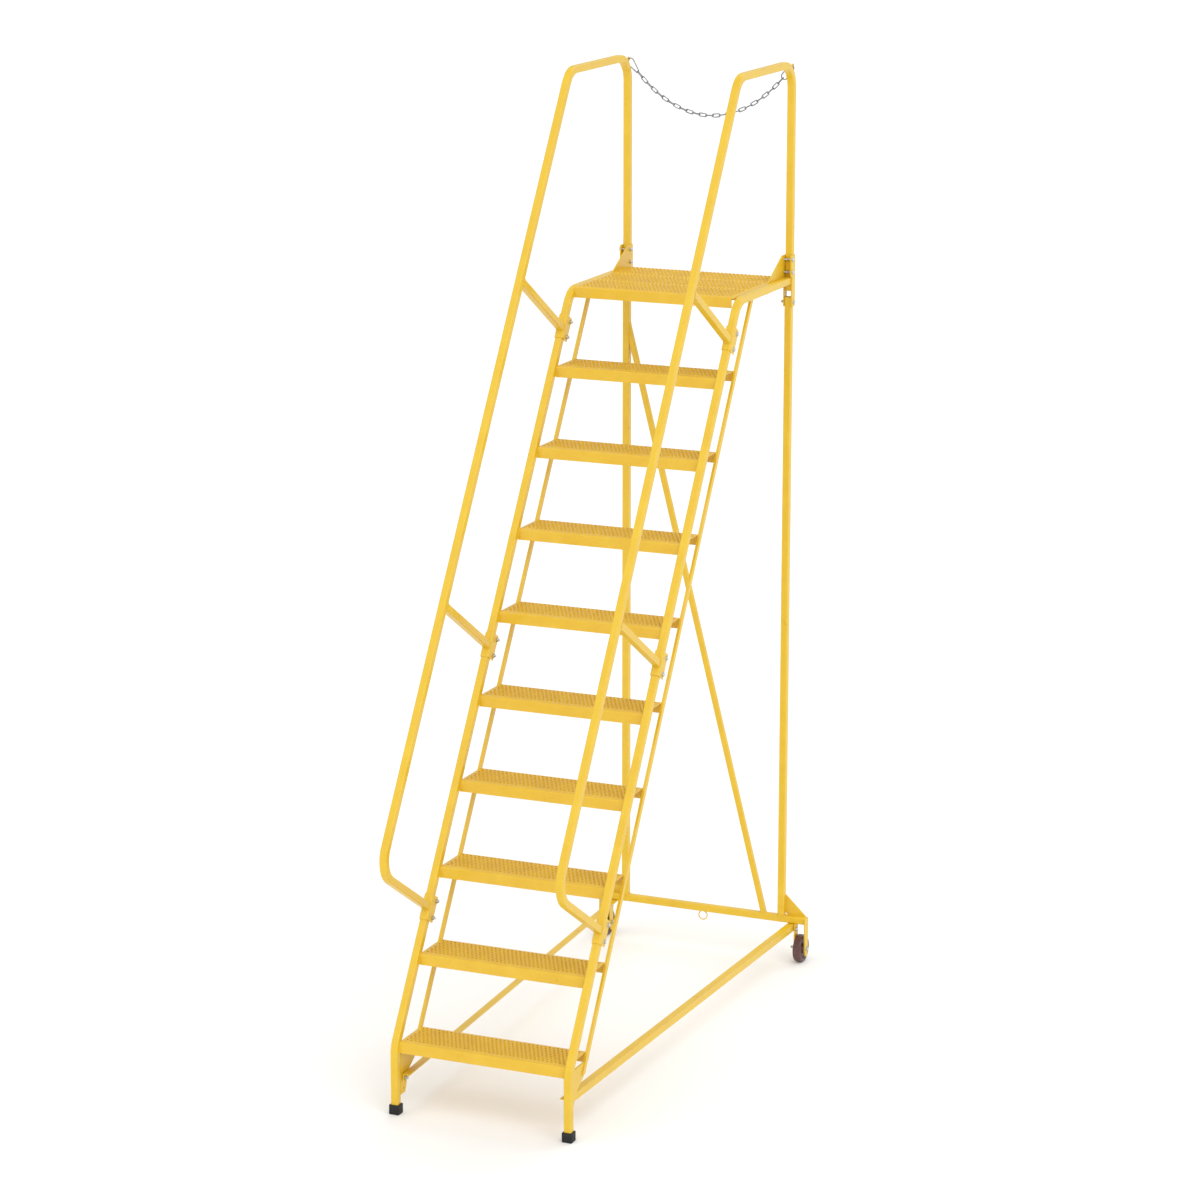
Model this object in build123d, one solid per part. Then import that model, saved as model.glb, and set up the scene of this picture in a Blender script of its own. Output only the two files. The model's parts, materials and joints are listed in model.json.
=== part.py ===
import math
import os

from build123d import *

# Mobile ladder stand: sloped step section, top platform, rear frame on two rigid casters.
# Millimetres. x runs across the ladder (+x is the climber's right), y runs from the front
# feet to the rear, z is up. The origin is on the floor under the middle of the overall box.

# ---- overall sizes -----------------------------------------------------------------------
outer_width = 646.0          # over the two stringers
step_rise = 254.0            # from one tread to the next
step_run = 160.0
step_count = 9               # treads below the platform
first_step_top = 248.0
plank_count = 3              # planks that make up the platform
plank_depth = 163.0
handrail_height = 760.0      # top of the handrail above the platform

# ---- tube and sheet ----------------------------------------------------------------------
tube = 25.4                  # square tube of the frame, outer size
tube_wall = 2.0
tube_corner = 3.5
bend_radius = 85.0           # of every tube bend, on the centreline
plate = 4.8                  # flat plate of brackets and gussets

# ---- treads ------------------------------------------------------------------------------
step_depth = 165.0
step_lip = 38.0
step_sheet = 2.6
step_sheet_bend = 4.5        # outer radius of the folded edges
step_setback = 8.0           # tread's front edge behind the stringer's front line
end_notch = 10.0             # platform's front lip stops this far short of the right rail
leg_bend_height = 232.5      # where the slope's front line meets the leg's front face

# ---- flat bars behind the treads ---------------------------------------------------------
bar_thick = 8.7
bar_wide = 19.0
bar_lap = 6.0                # how far a tread's rear edge runs onto the bar
bar_foot = 182.0             # height of the bar's lower end

# ---- feet and leg brackets ---------------------------------------------------------------
foot_size = 36.0
foot_height = 33.0
foot_pad = 8.0               # rubber under the tube's end
bracket_top = 220.0
bracket_bottom = 62.0
bracket_waist = (80.0, 128.0)    # behind the leg, height
bracket_lower = (68.0, 88.0)
brace_bolt_back = 21.6       # brace bolt behind the leg's rear face
brace_bolt_height = 115.0
spare_hole_drop = 36.5       # second bolt hole under the one in use

# ---- rear frame --------------------------------------------------------------------------
cross_bar_height = 142.6     # underside of the rear cross bar
upright_gap = 22.0           # upright's top below the handrail leg's end
diagonal_tube = 19.0
diagonal_wall = 1.6
diagonal_top = 242.0         # below the platform, on the left upright
diagonal_foot = 70.0         # from the right upright's centre, on the cross bar
corner_gusset_height = 77.0
corner_gusset_notch = 9.0
tie_ring_wire = 4.0
tie_ring_size = 37.0
tie_ring_sink = 1.0          # flat ground on the ring where it is welded

# ---- casters -----------------------------------------------------------------------------
caster_offset = 43.2         # inner caster plate outside the frame's side
caster_plate_width = 32.0
caster_plate_end = 29.0      # plate below the axle
axle_back = 8.0              # axle behind the cross bar's front face
wheel_diameter = 101.6
wheel_width = 30.0
wheel_edge = 6.0
hub_length = 34.0
hub_diameter = 34.0
hub_play = 0.5               # side play at each end of the hub
wheel_web = 17.0
rim_depth = 12.0
sleeve_diameter = 15.9
sleeve_play = 0.05           # radial clearance of the wheel on its sleeve
brace_angle = 25.4           # side brace: equal angle, one leg upright outside, one level on top
brace_sheet = 3.2
brace_gauge = 5.0            # bolts below the middle of the upright leg
brace_play = 1.8             # room for the splayed brace beside its plates
brace_skew = 0.4             # nut or head off the splayed angle
brace_end = 13.0             # brace past its bolts
brace_under_bar = 0.9        # brace below the cross bar

# ---- fasteners: shank, across flats, head height, nut height -----------------------------
frame_bolt = (7.9, 12.7, 5.3, 6.8)
axle_bolt = (9.5, 14.3, 6.2, 8.4)
hole_play = 0.4              # radial clearance of a bolt in its hole
bolt_tail = 5.0              # thread past the nut
axle_tail = 7.0

# ---- handrails ---------------------------------------------------------------------------
handrail_offset = 412.5      # handrail's front face before the stringer's front face
rail_leg_setback = 4.0       # handrail's rear leg behind the upright
rail_leg_end = 24.5          # rear leg's end below the platform rail
clamp_length = 88.0
clamp_sheet = 3.0
clamp_depth = 42.0           # flanges behind the stringer's front face
clamp_bolt_gap = 7.0         # bolt axis behind the stringer
clamp_pitch = 57.0
clamp_share = {2: 0.476, 5: 0.543, 9: 0.441}   # tread below each clamp, share of the rise above it
strut_shift = {2: 2.0, 5: -1.0, 9: -6.5}       # strut above the clamp's middle, along the slope

# ---- brackets at the platform's rear -----------------------------------------------------
bracket_rise = 78.0          # above the platform
bracket_drop = 105.0         # below the platform
gusset_reach = 162.0         # triangular plate's foot before the platform's rear edge
gusset_crown = 22.0          # level top before the platform's rear edge
strap_front = 13.0           # strap's upper part before the platform's rear edge
strap_lap = 3.0              # strap over the side rail's end
bracket_bolts = (18.0, 63.0)     # bolt heights above the platform
bracket_bolt_gap = 6.8       # those bolts in front of the handrail's rear leg
upright_bolt_drop = 18.0     # bolt through the upright, below its top

# ---- safety chain ------------------------------------------------------------------------
eye_sheet = 3.2
eye_width = 17.0
eye_hole = 12.4
eye_reach = 21.0             # eye's hole outside the handrail's bend
eye_angle = 40.0             # of the eye on the bend, above the horizontal
link_wire = 4.0
link_width = 15.0
link_pitch = 25.5
chain_play = 0.2             # gap between two links
chain_angle = 52.9           # of the chain at the eyes, below the horizontal; whole links shift it a little
hook_wire = 4.2
hook_length = 59.0           # from the eye's hole to the wire at the narrow end
hook_wide = 13.0             # radii of the hook's two ends, on the wire's centreline
hook_narrow = 5.5
end_link_radius = 11.5
gate_length = 29.0
gate_wire = 4.0
gate_gap = 0.4
gate_tongue = 1.7
gate_pin_diameter = 1.8
gate_play = 0.05
gate_ear = 2.25              # half height of the ears around the gate's pin
gate_side_play = 0.15

# ---- places worked out from the sizes ----------------------------------------------------
slope = math.atan2(step_rise, step_run)
inner_x = outer_width / 2 - tube              # inner faces of stringers and uprights
tube_x = outer_width / 2 - tube / 2           # their centreline
outer_x = outer_width / 2
platform_top = first_step_top + step_rise * step_count
rail_middle = platform_top - tube / 2
rail_under = platform_top - tube


def front_line(height):
    return (height - leg_bend_height) * step_run / step_rise


def on_slope(along, out):
    # y and z of a point that far up the slope's front line and that far out in front of it
    return (
        along * math.cos(slope) - out * math.sin(slope),
        leg_bend_height + along * math.sin(slope) + out * math.cos(slope),
    )


platform_front = front_line(platform_top) + step_setback
platform_rear = platform_front + plank_count * plank_depth
upright_y = platform_rear + tube / 2
leg_y = upright_y + rail_leg_setback
leg_foot = rail_under - rail_leg_end
upright_top = leg_foot - upright_gap
cross_bar_top = cross_bar_height + tube
axle_y = platform_rear + axle_back
axle_z = wheel_diameter / 2
caster_in = outer_x + caster_offset           # inner plate, inner face
wheel_x = caster_in + plate + hub_play + hub_length / 2
bar_end = caster_in + plate + 2 * hub_play + hub_length
bar_front = step_setback + step_depth - bar_lap
bar_rear = bar_front + bar_wide / math.sin(slope)
handrail_top = platform_top + handrail_height
handrail_out = handrail_offset - tube / 2
handrail_middle = handrail_top - tube / 2
clamp_bolt_out = -(tube + clamp_bolt_gap)


def clamp_along(step):
    height = first_step_top + step_rise * (step - 1 + clamp_share[step])
    return (height - leg_bend_height - clamp_bolt_out * math.cos(slope)) / math.sin(slope)


clamp_steps = sorted(clamp_share)
handrail_foot = clamp_along(clamp_steps[0]) + strut_shift[clamp_steps[0]]
handrail_corner = on_slope(handrail_foot, handrail_out)
handrail_front = (
    handrail_corner[0]
    + bend_radius * (math.sin(slope) + math.cos(slope))
    - bend_radius
    - tube / 2
)
rearmost = max(axle_y + wheel_diameter / 2, leg_y + tube / 2)
middle_y = (handrail_front + rearmost) / 2    # the origin is set here at the end


# ---- building blocks ---------------------------------------------------------------------
def section(size, corner):
    return RectangleRounded(size, size, corner)


def run_along(path, size, wall, corner, across=(1, 0, 0)):
    # outer envelope and hollow tube that follow a path
    start = Plane(origin=path @ 0, x_dir=across, z_dir=path % 0)
    envelope = sweep(start * section(size, corner), path=path)
    bore = sweep(start * section(size - 2 * wall, max(corner - wall, 0.5)), path=path)
    return envelope, envelope - bore


def bent_tube(points):
    path = Plane.YZ.offset(tube_x) * FilletPolyline(*points, radius=bend_radius)
    return run_along(path, tube, tube_wall, tube_corner)


def straight_tube(start, end, size=tube, wall=tube_wall, across=(1, 0, 0)):
    return run_along(Line(start, end), size, wall, tube_corner * size / tube, across)


def side_plate(points, x_from, thickness):
    # flat plate in a plane across x, from its outline in y and z
    return extrude(Plane.YZ.offset(x_from) * Polygon(*points, align=None), amount=thickness)


def drill_x(diameter, y, z, x_from, x_to):
    length = abs(x_to - x_from) + 2
    return Plane.YZ.offset((x_from + x_to) / 2) * Pos(y, z) * Cylinder(diameter / 2, length)


def hexagon(across_flats, height):
    prism = extrude(RegularPolygon(across_flats / 2, 6, major_radius=False), amount=height)
    drum = Pos(0, 0, height / 2) * Cylinder(across_flats / math.sqrt(3), height)
    rim = drum.edges().filter_by(GeomType.CIRCLE).sort_by(Axis.Z)[-1]
    return prism & chamfer(rim, 0.6, 1.0)


def bolt(kind, length):
    # along +z from the face that the head bears on
    shank, flats, head, _ = kind
    return Rot(180, 0, 0) * hexagon(flats, head) + Pos(0, 0, length / 2) * Cylinder(shank / 2, length)


def nut(kind):
    shank, flats, _, height = kind
    return hexagon(flats, height) - Pos(0, 0, height / 2) * Cylinder(shank / 2, height + 2)


def fasten(kind, y, z, x_head, x_nut, tail=bolt_tail):
    # bolt and nut of the right-hand side, head outboard
    towards = -1 if x_nut < x_head else 1
    _, _, _, height = kind
    length = abs(x_head - x_nut) + height + tail
    here = Plane(origin=(x_head, y, z), x_dir=(0, 0, 1), z_dir=(towards, 0, 0))
    there = Plane(origin=(x_nut, y, z), x_dir=(0, 0, 1), z_dir=(towards, 0, 0))
    return here * bolt(kind, length), there * nut(kind)


def hole_for(kind):
    return kind[0] + 2 * hole_play


def mirrored(solid):
    return mirror(solid, about=Plane.YZ)


def both_sides(solids):
    return Compound(list(solids) + [mirrored(solid) for solid in solids])


def channel(y_front, depth, top, half_length, notch=0):
    # sheet folded down along its front and rear edges
    outer = Pos(depth / 2, -step_lip / 2) * Rectangle(depth, step_lip)
    outer = fillet(outer.vertices().group_by(Axis.Y)[-1], step_sheet_bend)
    inner = Pos(depth / 2, -step_lip / 2 - step_sheet) * Rectangle(depth - 2 * step_sheet, step_lip)
    inner = fillet(inner.vertices().group_by(Axis.Y)[-1], max(step_sheet_bend - step_sheet, 0.5))
    profile = Plane.YZ.offset(-half_length) * Pos(y_front, top) * (outer - inner)
    folded = extrude(profile, amount=2 * half_length)
    if notch:
        drop = step_lip - step_sheet_bend
        cut = Box(notch, 2 * step_sheet_bend, drop)
        corner = (half_length - notch / 2, y_front, top - step_sheet_bend - drop / 2)
        folded -= Pos(*corner) * cut
    return folded


pieces = {}

# ---- stringers: leg, slope and platform rail in one bent tube ------------------------------
slope_shift = tube / 2 / math.sin(slope)
low_corner = leg_bend_height + (tube / 2 - slope_shift) * step_rise / step_run
stringer_envelope, stringer = bent_tube([
    (tube / 2, foot_pad),
    (tube / 2, low_corner),
    (front_line(rail_middle) + slope_shift, rail_middle),
    (platform_rear, rail_middle),
])
pieces["stringer_right"] = stringer

# ---- rubber feet ---------------------------------------------------------------------------
foot = Pos(tube_x, tube / 2, foot_height / 2) * Box(foot_size, foot_size, foot_height)
foot = fillet(foot.edges().filter_by(Axis.Z), 3.0)
foot = chamfer(foot.edges().group_by(Axis.Z)[-1], 1.5)
pieces["foot_right"] = foot - stringer_envelope

# ---- flat bars that carry the treads' rear edges -------------------------------------------
bar_outline = [
    (front_line(bar_foot) + bar_front, bar_foot),
    (front_line(bar_foot) + bar_rear, bar_foot),
    (front_line(rail_under) + bar_rear, rail_under),
    (front_line(rail_under) + bar_front, rail_under),
]
pieces["step_bar_right"] = side_plate(bar_outline, inner_x, bar_thick)

# ---- leg brackets, with a spare hole for levelling -----------------------------------------
brace_front = (tube + brace_bolt_back, brace_bolt_height)
bracket = side_plate(
    [
        (tube, bracket_bottom),
        (bracket_lower[0] - 10, bracket_bottom),
        bracket_lower,
        bracket_waist,
        (bar_outline[1][0] + 3, bar_foot - 4),
        bar_outline[1],
        bar_outline[0],
        (front_line(bracket_top) + bar_front, bracket_top),
        (tube, bracket_top),
    ],
    inner_x,
    plate,
)
bracket -= stringer_envelope
for drop in (0, spare_hole_drop):
    bracket -= drill_x(hole_for(frame_bolt), brace_front[0], brace_front[1] - drop, inner_x, inner_x + plate)
pieces["leg_bracket_right"] = bracket

# ---- rear frame ----------------------------------------------------------------------------
upright = straight_tube((tube_x, upright_y, cross_bar_top), (tube_x, upright_y, upright_top))[1]
upright_bolt = (upright_y, upright_top - upright_bolt_drop)
upright -= drill_x(hole_for(frame_bolt), *upright_bolt, inner_x, outer_x)
pieces["rear_upright_right"] = upright

corner_gusset = Polygon(
    (outer_x, cross_bar_top + corner_gusset_notch),
    (outer_x + corner_gusset_notch, cross_bar_top),
    (bar_end - 3, cross_bar_top),
    (outer_x, cross_bar_top + corner_gusset_height),
    align=None,
)
gusset_plane = Plane(origin=(0, upright_y + tube / 2, 0), x_dir=(1, 0, 0), z_dir=(0, -1, 0))
pieces["corner_gusset_right"] = extrude(gusset_plane * corner_gusset, amount=plate)

# ---- casters: two plates, a bolt, a sleeve and a moulded wheel -----------------------------
plate_front = axle_y - caster_plate_width / 2
plate_back = axle_y + caster_plate_width / 2


def caster_plate(top, x_from, bolt_holes):
    blank = side_plate(
        [
            (plate_front, top),
            (plate_front, axle_z - caster_plate_end * 0.25),
            (axle_y - caster_plate_width * 0.2, axle_z - caster_plate_end),
            (axle_y + caster_plate_width * 0.2, axle_z - caster_plate_end),
            (plate_back, axle_z - caster_plate_end * 0.25),
            (plate_back, top),
        ],
        x_from,
        plate,
    )
    for kind, y, z in bolt_holes:
        blank -= drill_x(hole_for(kind), y, z, x_from, x_from + plate)
    return blank


brace_back = (
    axle_y - caster_plate_width / 4,
    cross_bar_height - brace_under_bar - brace_angle / 2 - brace_gauge,
)
pieces["caster_plate_outer_right"] = caster_plate(
    cross_bar_top, bar_end, [(axle_bolt, axle_y, axle_z)]
)
pieces["caster_plate_inner_right"] = caster_plate(
    cross_bar_height, caster_in, [(axle_bolt, axle_y, axle_z), (frame_bolt, *brace_back)]
)

bore = sleeve_diameter / 2 + sleeve_play
wheel_radius = wheel_diameter / 2
wheel_half = Polygon(
    (0, bore),
    (hub_length / 2, bore),
    (hub_length / 2, hub_diameter / 2),
    (wheel_web / 2, hub_diameter / 2 + 2),
    (wheel_web / 2, wheel_radius - rim_depth - 2),
    (wheel_width / 2, wheel_radius - rim_depth),
    (wheel_width / 2, wheel_radius),
    (0, wheel_radius),
    align=None,
)
wheel_profile = wheel_half + mirror(wheel_half, about=Plane.YZ)
wheel = revolve(wheel_profile, Axis.X, 360)
tread_edges = [
    edge for edge in wheel.edges().filter_by(GeomType.CIRCLE) if abs(edge.radius - wheel_radius) < 0.01
]
wheel = fillet(tread_edges, wheel_edge)
pieces["wheel_right"] = Pos(wheel_x, axle_y, axle_z) * wheel

sleeve_length = hub_length + 2 * hub_play
sleeve = Cylinder(sleeve_diameter / 2, sleeve_length) - Cylinder(axle_bolt[0] / 2, sleeve_length + 2)
sleeve = Pos(wheel_x, axle_y, axle_z) * Rot(0, 90, 0) * sleeve

# ---- splayed side braces -------------------------------------------------------------------
front_x = inner_x - brace_angle / 2 - brace_play
back_x = caster_in - brace_angle / 2 - brace_play
above = Vector(0, 0, brace_gauge)
brace_line = Vector(back_x, *brace_back) - Vector(front_x, *brace_front)
brace_way = brace_line.normalized()
brace_from = Vector(front_x, *brace_front) + above - brace_way * brace_end
inward = Vector(0, 0, 1).cross(brace_way).normalized()
half = brace_angle / 2
angle_outline = [
    (-half, -half),
    (brace_sheet - half, -half),
    (brace_sheet - half, half - brace_sheet),
    (half, half - brace_sheet),
    (half, half),
    (-half, half),
]
brace_seat = Plane(origin=brace_from, x_dir=inward, z_dir=brace_way)
side_brace = extrude(
    brace_seat * Polygon(*angle_outline, align=None), amount=brace_line.length + 2 * brace_end
)
side_brace -= drill_x(hole_for(frame_bolt), *brace_front, front_x, front_x + half)
side_brace -= drill_x(hole_for(frame_bolt), *brace_back, back_x, back_x + half)
pieces["side_brace_right"] = side_brace

# ---- handrails -----------------------------------------------------------------------------
handrail_slope_y = on_slope(
    (handrail_middle - leg_bend_height - handrail_out * math.cos(slope)) / math.sin(slope), handrail_out
)[0]
handrail_envelope, handrail = bent_tube([
    on_slope(handrail_foot, clamp_sheet),
    handrail_corner,
    (handrail_slope_y, handrail_middle),
    (leg_y, handrail_middle),
    (leg_y, leg_foot),
])
pieces["handrail_right"] = handrail

# ---- clamps round the stringer, with a strut to the handrail -------------------------------
clamp_width = tube + 2 * clamp_sheet
clamp_outer = Pos(0, (clamp_depth - clamp_sheet) / 2) * Rectangle(clamp_width, clamp_depth + clamp_sheet)
clamp_outer = fillet(clamp_outer.vertices().group_by(Axis.Y)[0], tube_corner + clamp_sheet * 0.6)
clamp_inner = Pos(0, clamp_depth / 2 + 5) * Rectangle(tube, clamp_depth + 10)
clamp_inner = fillet(clamp_inner.vertices().group_by(Axis.Y)[0], tube_corner)
clamps, struts, clamp_bolts, clamp_nuts = [], [], [], []
for step in clamp_steps:
    along = clamp_along(step)
    y, z = on_slope(along - clamp_length / 2, 0)
    seat = Plane(
        origin=(tube_x, y, z), x_dir=(1, 0, 0), z_dir=(0, math.cos(slope), math.sin(slope))
    )
    clamp = extrude(seat * (clamp_outer - clamp_inner), amount=clamp_length)
    for shift in (-clamp_pitch / 2, clamp_pitch / 2):
        spot = on_slope(along + shift, clamp_bolt_out)
        clamp -= drill_x(
            hole_for(frame_bolt), *spot, inner_x - clamp_sheet, outer_x + clamp_sheet
        )
        screw, screw_nut = fasten(frame_bolt, *spot, outer_x + clamp_sheet, inner_x - clamp_sheet)
        clamp_bolts.append(screw)
        clamp_nuts.append(screw_nut)
    clamps.append(clamp)
    if step != clamp_steps[0]:
        lower = on_slope(along + strut_shift[step], clamp_sheet)
        upper = on_slope(along + strut_shift[step], handrail_out - tube / 2)
        struts.append(straight_tube((tube_x, *lower), (tube_x, *upper))[1])
pieces["handrail_clamps_right"] = Compound(clamps)
pieces["handrail_struts_right"] = Compound(struts)

# ---- brackets at the platform's rear -------------------------------------------------------
bracket_back = upright_y + tube / 2
bolt_row = leg_y - tube / 2 - bracket_bolt_gap
gusset = side_plate(
    [
        (platform_rear - gusset_reach, platform_top),
        (platform_rear, platform_top),
        (platform_rear, platform_top - bracket_drop),
        (bracket_back, platform_top - bracket_drop),
        (bracket_back, platform_top + bracket_rise),
        (platform_rear - gusset_crown, platform_top + bracket_rise),
    ],
    inner_x - plate,
    plate,
)
strap = side_plate(
    [
        (platform_rear - strap_front, platform_top + 2),
        (platform_rear - strap_lap, platform_top + 2),
        (platform_rear - strap_lap, platform_top - bracket_drop),
        (bracket_back, platform_top - bracket_drop),
        (bracket_back, platform_top + bracket_rise),
        (platform_rear - strap_front, platform_top + bracket_rise),
    ],
    outer_x,
    plate,
)
bracket_spots = [(bolt_row, platform_top + height) for height in bracket_bolts] + [upright_bolt]
frame_bolts, frame_nuts = [], []
for spot in bracket_spots:
    gusset -= drill_x(hole_for(frame_bolt), *spot, inner_x - plate, inner_x)
    strap -= drill_x(hole_for(frame_bolt), *spot, outer_x, outer_x + plate)
    screw, screw_nut = fasten(frame_bolt, *spot, outer_x + plate, inner_x - plate)
    frame_bolts.append(screw)
    frame_nuts.append(screw_nut)
pieces["rail_gusset_right"] = gusset
pieces["rail_strap_right"] = strap

# ---- brace bolts and axle bolts ------------------------------------------------------------
grip = brace_angle / 2 - brace_sheet - brace_skew      # upright leg's inner face off the centreline
front_bolt = fasten(frame_bolt, *brace_front, inner_x + plate, front_x + grip)
back_bolt = fasten(frame_bolt, *brace_back, back_x + grip, caster_in + plate, 1.0)
axle, axle_nut = fasten(axle_bolt, axle_y, axle_z, bar_end + plate, caster_in, axle_tail)

# ---- chain eyes on the handrails' rear bends -----------------------------------------------
bend_centre = (leg_y - bend_radius, handrail_middle - bend_radius)
eye_radius = bend_radius + tube / 2 + eye_reach
eye_y = bend_centre[0] + eye_radius * math.cos(math.radians(eye_angle))
eye_z = bend_centre[1] + eye_radius * math.sin(math.radians(eye_angle))
eye_blank = Pos(eye_radius / 2, 0) * Rectangle(eye_radius, eye_width)
eye_blank += Pos(eye_radius, 0) * Circle(eye_width / 2)
eye_blank -= Pos(eye_radius, 0) * Circle(eye_hole / 2)
eye_seat = Plane.YZ.offset(tube_x - eye_sheet / 2) * Pos(*bend_centre) * Rot(0, 0, eye_angle)
bend_disc = Plane.YZ.offset(tube_x) * Pos(*bend_centre) * Cylinder(bend_radius, tube)
chain_eye = extrude(eye_seat * eye_blank, amount=eye_sheet) - handrail_envelope - bend_disc

# ---- every piece so far has a mirror image on the left -------------------------------------
for name in list(pieces):
    pieces[name.replace("_right", "_left")] = mirrored(pieces[name])

# ---- treads and platform -------------------------------------------------------------------
for number in range(1, step_count + 1):
    top = first_step_top + step_rise * (number - 1)
    pieces[f"step_{number}"] = channel(front_line(top) + step_setback, step_depth, top, inner_x)
for number in range(1, plank_count + 1):
    plank_front = platform_front + plank_depth * (number - 1)
    notch = end_notch if number == 1 else 0
    pieces[f"platform_plank_{number}"] = channel(
        plank_front, plank_depth, platform_top, inner_x, notch
    )

# ---- cross bar, diagonal and tie ring ------------------------------------------------------
cross_bar = straight_tube(
    (-bar_end, upright_y, cross_bar_height + tube / 2),
    (bar_end, upright_y, cross_bar_height + tube / 2),
    across=(0, 1, 0),
)[1]
pieces["rear_cross_bar"] = cross_bar

diagonal_from = Vector(-inner_x, upright_y, platform_top - diagonal_top)
diagonal_to = Vector(tube_x - diagonal_foot, upright_y, cross_bar_top)
diagonal_way = (diagonal_to - diagonal_from).normalized()
spare = 2 * diagonal_tube / abs(diagonal_way.X)
diagonal = straight_tube(
    diagonal_from - diagonal_way * spare,
    diagonal_to + diagonal_way * spare,
    diagonal_tube,
    diagonal_wall,
    across=(0, 1, 0),
)[1]
bay = Pos(0, upright_y, (cross_bar_top + platform_top) / 2) * Box(
    2 * inner_x, 2 * tube, platform_top - cross_bar_top
)
pieces["diagonal_brace"] = diagonal & bay

ring_radius = (tie_ring_size - tie_ring_wire) / 2
ring_z = cross_bar_height - tie_ring_size / 2 + tie_ring_sink
ring = Pos(0, upright_y, ring_z) * Rot(90, 0, 0) * Torus(ring_radius, tie_ring_wire / 2)
ring -= Pos(0, upright_y, cross_bar_height + tube / 2) * Box(tie_ring_size, tube, tube)
pieces["tie_ring"] = ring

# ---- fasteners, one node for each kind and place -------------------------------------------
pieces["chain_eyes"] = both_sides([chain_eye])
pieces["axle_sleeves"] = both_sides([sleeve])
pieces["axle_bolts"] = both_sides([axle])
pieces["axle_nuts"] = both_sides([axle_nut])
pieces["clamp_bolts"] = both_sides(clamp_bolts)
pieces["clamp_nuts"] = both_sides(clamp_nuts)
pieces["frame_bolts"] = both_sides(frame_bolts)
pieces["frame_nuts"] = both_sides(frame_nuts)
pieces["brace_bolts"] = both_sides([front_bolt[0], back_bolt[0]])
pieces["brace_nuts"] = both_sides([front_bolt[1], back_bolt[1]])


# ---- safety chain: whole links on a catenary between the two eyes --------------------------
def catenary_scale(sag, half_span):
    low, high = 1.0, 1e6
    for _ in range(200):
        scale = math.sqrt(low * high)
        if half_span / scale > 50 or scale * (math.cosh(half_span / scale) - 1) > sag:
            low = scale
        else:
            high = scale
    return scale


def hang(sag, half_span, lengths):
    # joints between rigid lengths laid one after the other along a catenary
    scale = catenary_scale(sag, half_span)
    joints = [(-half_span, 0.0)]
    for length in lengths:
        x, z = joints[-1]
        low, high = x, x + length
        for _ in range(60):
            guess = (low + high) / 2
            drop = scale * (math.cosh(guess / scale) - math.cosh(half_span / scale))
            if math.hypot(guess - x, drop - z) < length:
                low = guess
            else:
                high = guess
        joints.append((guess, drop))
    return joints


def fit_chain(half_span, lengths):
    # the sag at which the last joint comes out at the far eye
    low, high = 0.01 * half_span, 3.0 * half_span
    for _ in range(60):
        sag = (low + high) / 2
        if hang(sag, half_span, lengths)[-1][0] > half_span:
            low = sag
        else:
            high = sag
    return hang(sag, half_span, lengths)


def oval(half_length, radius, wire):
    # closed wire link in the local x-y plane
    straight = half_length - radius
    cut_face = Plane(origin=(0, radius, 0), z_dir=(1, 0, 0)) * Circle(wire / 2)
    bend = revolve(cut_face, Axis.Z, 180)
    link = Pos(-straight, 0) * bend + Pos(straight, 0) * Rot(0, 0, 180) * bend
    for side in (-1, 1):
        link += Pos(0, side * radius) * Rot(0, 90, 0) * Cylinder(wire / 2, 2 * straight)
    return link


def link_place(start, end, edge_on):
    way = (Vector(*end) - Vector(*start)).normalized()
    middle = (Vector(*start) + Vector(*end)) * 0.5
    face = way.cross(Vector(0, 1, 0)) if edge_on else Vector(0, 1, 0)
    return Plane(origin=middle, x_dir=way, z_dir=face)


hook_chord = hook_length - (hook_wire + chain_play) / 2
steepness = math.tan(math.radians(chain_angle))
wanted_length = 2 * tube_x * steepness / math.asinh(steepness)
link_count = 2 * round(((wanted_length - 2 * hook_chord) / link_pitch - 1) / 2) + 1   # odd
chords = [hook_chord] + [link_pitch] * link_count + [hook_chord]
joints = [(x, eye_y, eye_z + z) for x, z in fit_chain(tube_x, chords)]
link_half = (link_pitch + link_wire + chain_play) / 2
link_shape = oval(link_half, (link_width - link_wire) / 2, link_wire)
pieces["safety_chain"] = Compound([
    link_place(joints[i + 1], joints[i + 2], i % 2 == 0) * link_shape for i in range(link_count)
])
end_link = oval(hook_length / 2, end_link_radius, hook_wire)
end_way = (Vector(*joints[-2]) - Vector(*joints[-1])).normalized()
end_middle = Vector(*joints[-1]) + end_way * (hook_length / 2)
pieces["end_link"] = Plane(origin=end_middle, x_dir=end_way, z_dir=(0, 1, 0)) * end_link

# ---- snap hook: pear-shaped wire with a sprung gate on its lower side ----------------------
lean = math.asin((hook_wide - hook_narrow) / (hook_length - hook_wide - hook_narrow))
wide_x, narrow_x = hook_wide, hook_length - hook_narrow
tip = Vector(wide_x + hook_wide * math.sin(lean), -hook_wide * math.cos(lean))
heel = Vector(narrow_x + hook_narrow * math.sin(lean), -hook_narrow * math.cos(lean))
gate_way = (heel - tip).normalized()
pivot = tip + gate_way * (gate_gap + gate_length)
shoulder = pivot + gate_way * (gate_ear + 1.0)
hook_path = Wire([
    Line(shoulder, heel),
    ThreePointArc(heel, Vector(hook_length, 0), Vector(heel.X, -heel.Y)),
    Line(Vector(heel.X, -heel.Y), Vector(tip.X, -tip.Y)),
    ThreePointArc(Vector(tip.X, -tip.Y), Vector(0, 0), tip),
])
hook_start = Plane(origin=shoulder, z_dir=gate_way)
hook = sweep(hook_start * Circle(hook_wire / 2), path=hook_path)
gate_turn = math.degrees(math.atan2(gate_way.Y, gate_way.X))
gate_seat = Pos(pivot.X, pivot.Y) * Rot(0, 0, gate_turn)
ear_inner = gate_tongue / 2 + gate_side_play
ear_sheet = gate_ear - ear_inner
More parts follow.
